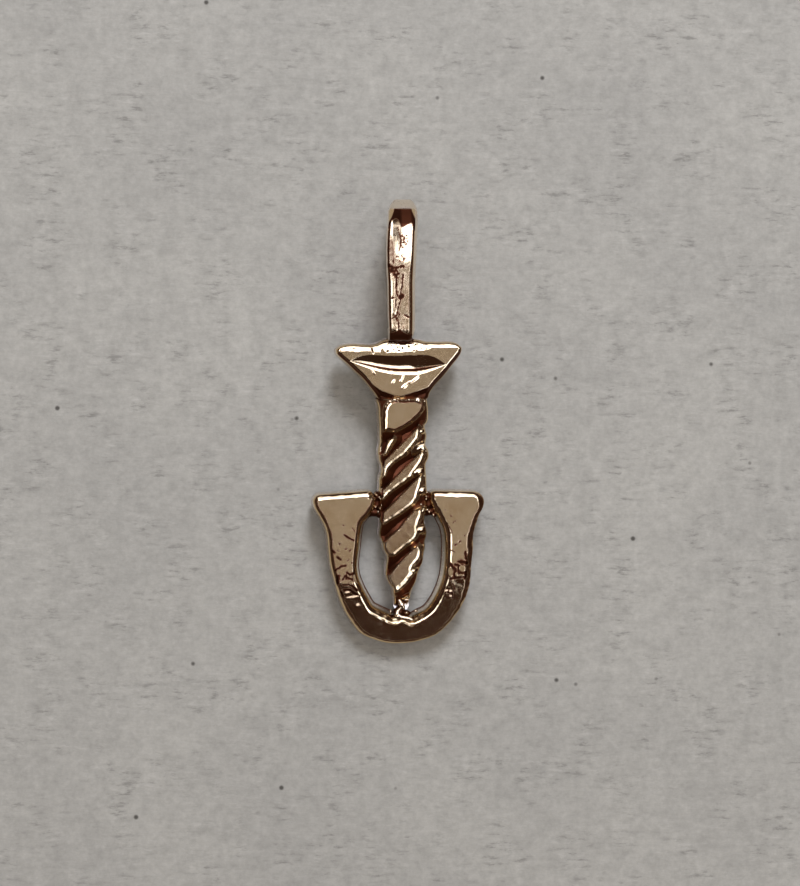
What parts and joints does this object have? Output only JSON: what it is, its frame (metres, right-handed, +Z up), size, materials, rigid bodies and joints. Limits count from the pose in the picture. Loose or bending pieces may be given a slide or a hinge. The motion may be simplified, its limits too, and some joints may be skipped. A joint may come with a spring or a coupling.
{
  "type": "screw charm",
  "caption": "Polished metal charm: a flat wood screw with a slotted head set down through a horseshoe plate, hung from a fixed strap loop.",
  "frame": {"origin": "middle of the footprint, on the surface the charm lies on", "axes": "+Y along the charm from the plate's foot towards the hanging loop, +Z up out of its face, +X to the right of its face"},
  "size_m": [0.01, 0.0256, 0.0036],
  "materials": {
    "cast_gold": "polished",
    "strap_gold": "gloss",
    "solder_gold": "satin"
  },
  "bodies": {
    "root": {"bail": "strap_gold", "screw_head": "cast_gold", "screw_shank": "cast_gold", "u_plate": "cast_gold", "bail_solder": "solder_gold", "neck_solder": "solder_gold", "left_leg_solder": "solder_gold", "right_leg_solder": "solder_gold", "tip_solder": "solder_gold"}
  },
  "joints": []
}
